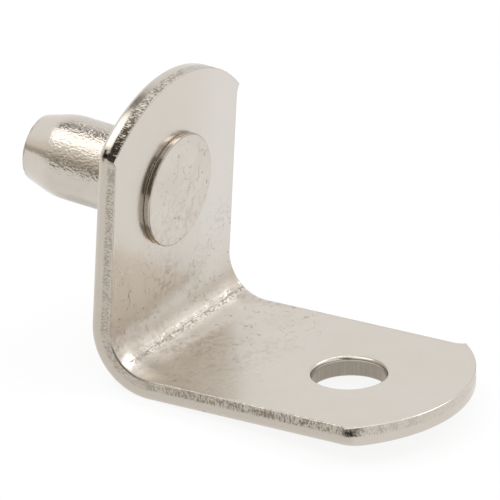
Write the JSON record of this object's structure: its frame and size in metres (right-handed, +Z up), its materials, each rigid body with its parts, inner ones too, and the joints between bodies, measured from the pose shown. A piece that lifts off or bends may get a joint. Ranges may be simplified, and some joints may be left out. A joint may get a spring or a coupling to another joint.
{
  "type": "shelf support pin",
  "caption": "L-shaped steel shelf support: a riveted pin plugs into a hole in a cabinet's side, and a drilled foot carries the shelf.",
  "frame": {"origin": "on the pin's axis, in the plane of the upright's back, which lies against the cabinet's side", "axes": "+X out of the wall, along the foot, +Y along the wall, across the strip, +Z up; the pin points along -X"},
  "size_m": [0.0287, 0.0138, 0.0173],
  "materials": {
    "bracket": "satin nickel plate over folded steel strip, with rough sheared edges",
    "pin": "nickel plate over cold-headed steel, slightly wrinkled"
  },
  "bodies": {
    "root": {"bracket": "bracket", "pin": "pin"}
  },
  "joints": []
}
